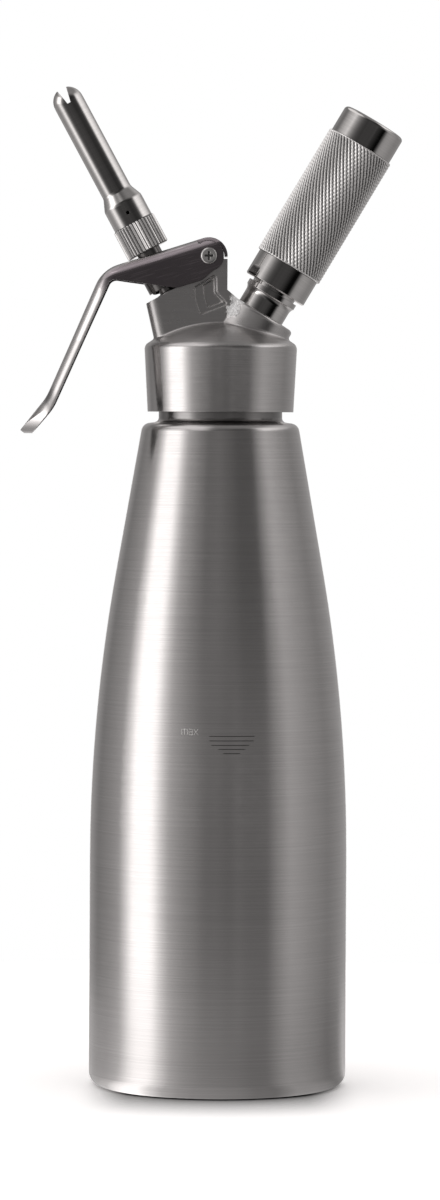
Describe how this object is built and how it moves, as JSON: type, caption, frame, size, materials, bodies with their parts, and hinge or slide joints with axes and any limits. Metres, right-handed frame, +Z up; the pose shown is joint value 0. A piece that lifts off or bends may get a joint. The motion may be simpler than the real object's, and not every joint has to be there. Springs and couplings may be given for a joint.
{
  "type": "whipped cream dispenser",
  "caption": "Steel whipped cream dispenser: tall tapered bottle, screw-on cast head with squeeze lever and push valve, petal nozzle and knurled charger holder",
  "frame": {"origin": "centre of the bottle's resting ring, on the surface that it stands on", "axes": "+Z up along the bottle's axis; XZ is the plane of symmetry, with the nozzle and the lever towards -X and the charger holder towards +X"},
  "size_m": [0.1473, 0.1, 0.3876],
  "materials": {
    "bottle_steel": "stainless steel brushed round the axis",
    "head_steel": "cast stainless steel, the band turned and brushed",
    "lever_steel": "formed stainless sheet, satin",
    "polished_steel": "turned and polished stainless steel",
    "knurled_steel": "diamond knurled stainless steel",
    "nozzle_steel": "satin stainless steel",
    "bush_brass": "turned brass",
    "spring_steel": "bright spring wire",
    "charger_steel": "drawn steel capsule, satin",
    "seal_rubber": "food grade silicone, matte"
  },
  "bodies": {
    "bottle": {"bottle": "bottle_steel"},
    "gasket": {"head_gasket": "seal_rubber"},
    "head": {"head_casting": "head_steel", "valve_bush": "bush_brass", "stem_ring": "seal_rubber", "return_spring": "spring_steel", "pivot_sleeve": "polished_steel", "pivot_screw": "polished_steel", "charger_spigot": "polished_steel", "spigot_seal": "seal_rubber", "piercing_needle": "polished_steel", "charger_seal": "seal_rubber", "check_valve_spring": "spring_steel", "check_valve_plug": "bush_brass"},
    "lever": {"lever": "lever_steel"},
    "valve": {"valve_stem": "polished_steel", "thrust_washer": "polished_steel", "valve_seal": "seal_rubber", "seal_plate": "polished_steel", "valve_nut": "polished_steel"},
    "nozzle_seat": {"nozzle_seal": "seal_rubber"},
    "nozzle": {"nozzle_tip": "nozzle_steel", "nozzle_collar": "knurled_steel"},
    "check_ball": {"check_valve_ball": "polished_steel"},
    "charger": {"gas_charger": "charger_steel"},
    "holder": {"holder_body": "polished_steel", "holder_grip": "knurled_steel", "holder_cap": "polished_steel"}
  },
  "joints": [
    {"name": "head_rise", "type": "slide", "parent": "bottle", "child": "gasket", "axis": [0, 0, 1], "range_m": [0, 0.02]},
    {"name": "head_turn", "type": "hinge", "parent": "gasket", "child": "head", "pos_m": [0, 0, 0.27], "axis": [0, 0, 1], "range_deg": [0, 1800]},
    {"name": "lever_press", "type": "hinge", "parent": "head", "child": "lever", "pos_m": [-0.00476, 0, 0.32219], "axis": [0, -1, 0], "range_deg": [0, 10.9], "stiffness_Nm_per_rad": 1.6, "springref_deg": -14.32},
    {"name": "valve_stroke", "type": "slide", "parent": "head", "child": "valve", "axis": [0.4772, 0, -0.8788], "range_m": [0, 0.0039], "deforming": ["return_spring"]},
    {"name": "nozzle_rise", "type": "slide", "parent": "valve", "child": "nozzle_seat", "axis": [-0.4772, 0, 0.8788], "range_m": [0, 0.0105]},
    {"name": "nozzle_turn", "type": "hinge", "parent": "nozzle_seat", "child": "nozzle", "pos_m": [-0.02832, 0, 0.3243], "axis": [-0.4772, 0, 0.8788], "range_deg": [0, 2520]},
    {"name": "check_open", "type": "slide", "parent": "head", "child": "check_ball", "axis": [-0.5105, 0, -0.8599], "range_m": [0, 0.0008], "stiffness_N_per_m": 60, "springref_m": -0.0003, "deforming": ["check_valve_spring"]},
    {"name": "charger_rise", "type": "slide", "parent": "head", "child": "charger", "axis": [0.5105, 0, 0.8599], "range_m": [0, 0.01225]},
    {"name": "holder_turn", "type": "hinge", "parent": "charger", "child": "holder", "pos_m": [0.0207, 0, 0.3096], "axis": [0.5105, 0, 0.8599], "range_deg": [0, 2520]}
  ],
  "couplings": [
    {"joint": "head_turn", "follows": "head_rise", "rad_per_m": 1570.8},
    {"joint": "valve_stroke", "follows": "lever_press", "m_per_rad": 0.019933},
    {"joint": "nozzle_turn", "follows": "nozzle_rise", "rad_per_m": 4188.8},
    {"joint": "holder_turn", "follows": "charger_rise", "rad_per_m": 3590.4}
  ]
}
